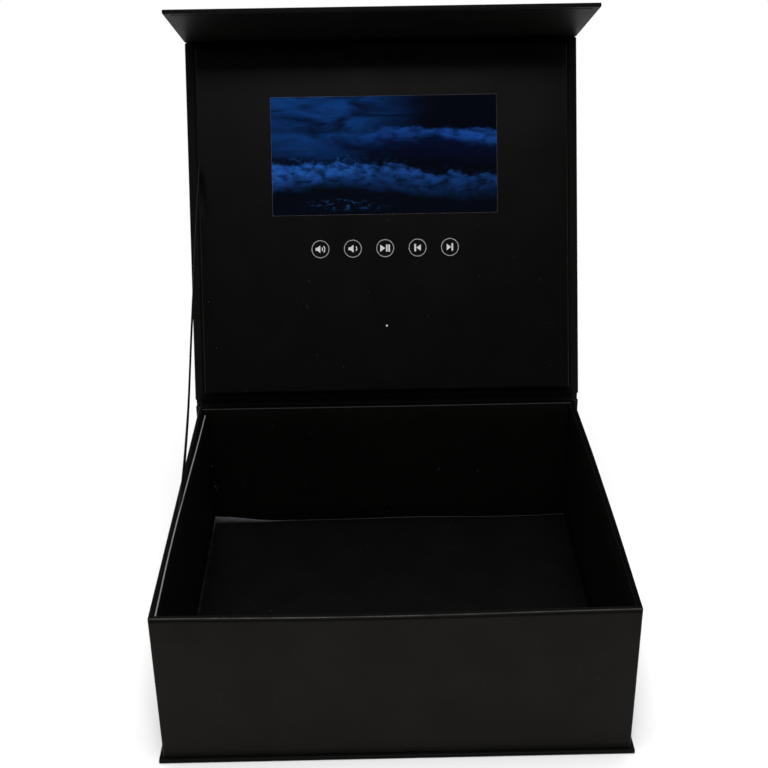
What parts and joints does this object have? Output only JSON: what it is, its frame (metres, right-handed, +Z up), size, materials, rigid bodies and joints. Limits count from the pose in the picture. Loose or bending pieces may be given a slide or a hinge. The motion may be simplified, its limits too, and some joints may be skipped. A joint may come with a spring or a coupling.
{
  "type": "lcd video brochure box",
  "caption": "Black hinged presentation box with a video screen and round keys in its lid, a magnetic front flap, a ribbon stay and an open lined tray.",
  "frame": {"origin": "centre of the base panel's underside", "axes": "+Z up, -Y towards the tray's front, +X right as seen from the front; the lid's hinge axis runs along X at the back"},
  "size_m": [0.267, 0.3388, 0.3675],
  "materials": {
    "wrap_black": "matt laminated black wrap paper over board",
    "lining_black": "black uncoated lining paper",
    "liner_card": "black card liners with lighter cut edges",
    "greyboard": "grey binder's board, hidden inside the wraps",
    "facing_black": "black card facing of the raised block",
    "foam": "dark soft foam, hidden",
    "steel": "plated steel discs",
    "magnet": "nickel plated magnet discs",
    "satin": "black satin ribbon",
    "screen_glass": "glossy display glass showing a dark blue sea and sky",
    "backlight": "white backlight, hidden",
    "tin": "tinned sheet",
    "circuit": "green circuit board",
    "chip": "black moulded components",
    "flat_cable": "amber flat cable",
    "pouch": "silver battery pouch",
    "lead": "insulated leads",
    "speaker_black": "black speaker frame and cone",
    "key_black": "matt black key caps with printed icons",
    "plunger": "ivory switch plunger",
    "sensor_lens": "pale sensor lens on a small board"
  },
  "bodies": {
    "box": {"base_board": "greyboard", "base_wrap": "wrap_black", "base_lining": "lining_black", "spine_board": "greyboard", "spine_wrap": "wrap_black", "tray_floor_board": "greyboard", "tray_front_board": "greyboard", "tray_back_board": "greyboard", "tray_left_board": "greyboard", "tray_right_board": "greyboard", "tray_wrap": "wrap_black", "catch_plates": "steel", "liner_left": "liner_card", "liner_right": "liner_card", "liner_front": "liner_card", "liner_back": "liner_card", "floor_liner": "liner_card", "ribbon_stay": "satin"},
    "lid": {"lid_board": "greyboard", "lid_wrap": "wrap_black", "lid_lining": "lining_black", "lid_hinge_paper": "wrap_black", "block_rail_left": "greyboard", "block_rail_right": "greyboard", "block_rail_hinge": "greyboard", "block_rail_flap": "greyboard", "foam_insert": "foam", "facing_card": "facing_black", "screen_bezel": "tin", "screen_glass": "screen_glass", "screen_backlight": "backlight", "screen_flat_cable": "flat_cable", "main_board": "circuit", "board_chips": "chip", "charging_socket": "tin", "battery": "pouch", "battery_leads": "lead", "speaker_frame": "speaker_black", "speaker_cone": "speaker_black", "speaker_leads": "lead", "key_board": "circuit", "tact_switches": "chip", "key_flat_cable": "flat_cable", "light_sensor": "sensor_lens", "sensor_leads": "lead"},
    "flap": {"flap_board": "greyboard", "flap_wrap": "wrap_black", "flap_lining": "lining_black", "magnets": "magnet", "flap_hinge_paper": "wrap_black"},
    "volume_up": {"volume_up_button": "key_black", "volume_up_plunger": "plunger"},
    "volume_down": {"volume_down_button": "key_black", "volume_down_plunger": "plunger"},
    "play_pause": {"play_pause_button": "key_black", "play_pause_plunger": "plunger"},
    "previous": {"previous_button": "key_black", "previous_plunger": "plunger"},
    "next": {"next_button": "key_black", "next_plunger": "plunger"}
  },
  "joints": [
    {"name": "lid_hinge", "type": "hinge", "parent": "box", "child": "lid", "pos_m": [0, 0.1235, 0.1008], "axis": [1, 0, 0], "range_deg": [0, 111.77], "deforming": ["ribbon_stay", "lid_hinge_paper"]},
    {"name": "flap_hinge", "type": "hinge", "parent": "lid", "child": "flap", "pos_m": [0, 0.21553, 0.33131], "axis": [-1, 0, 0], "range_deg": [0, 90], "deforming": ["flap_hinge_paper"]},
    {"name": "volume_up_press", "type": "slide", "parent": "lid", "child": "volume_up", "axis": [0, 0.9287, -0.3708], "range_m": [0, 0.0004], "stiffness_N_per_m": 1500, "springref_m": -0.0003},
    {"name": "volume_down_press", "type": "slide", "parent": "lid", "child": "volume_down", "axis": [0, 0.9287, -0.3708], "range_m": [0, 0.0004], "stiffness_N_per_m": 1500, "springref_m": -0.0003},
    {"name": "play_pause_press", "type": "slide", "parent": "lid", "child": "play_pause", "axis": [0, 0.9287, -0.3708], "range_m": [0, 0.0004], "stiffness_N_per_m": 1500, "springref_m": -0.0003},
    {"name": "previous_press", "type": "slide", "parent": "lid", "child": "previous", "axis": [0, 0.9287, -0.3708], "range_m": [0, 0.0004], "stiffness_N_per_m": 1500, "springref_m": -0.0003},
    {"name": "next_press", "type": "slide", "parent": "lid", "child": "next", "axis": [0, 0.9287, -0.3708], "range_m": [0, 0.0004], "stiffness_N_per_m": 1500, "springref_m": -0.0003}
  ]
}
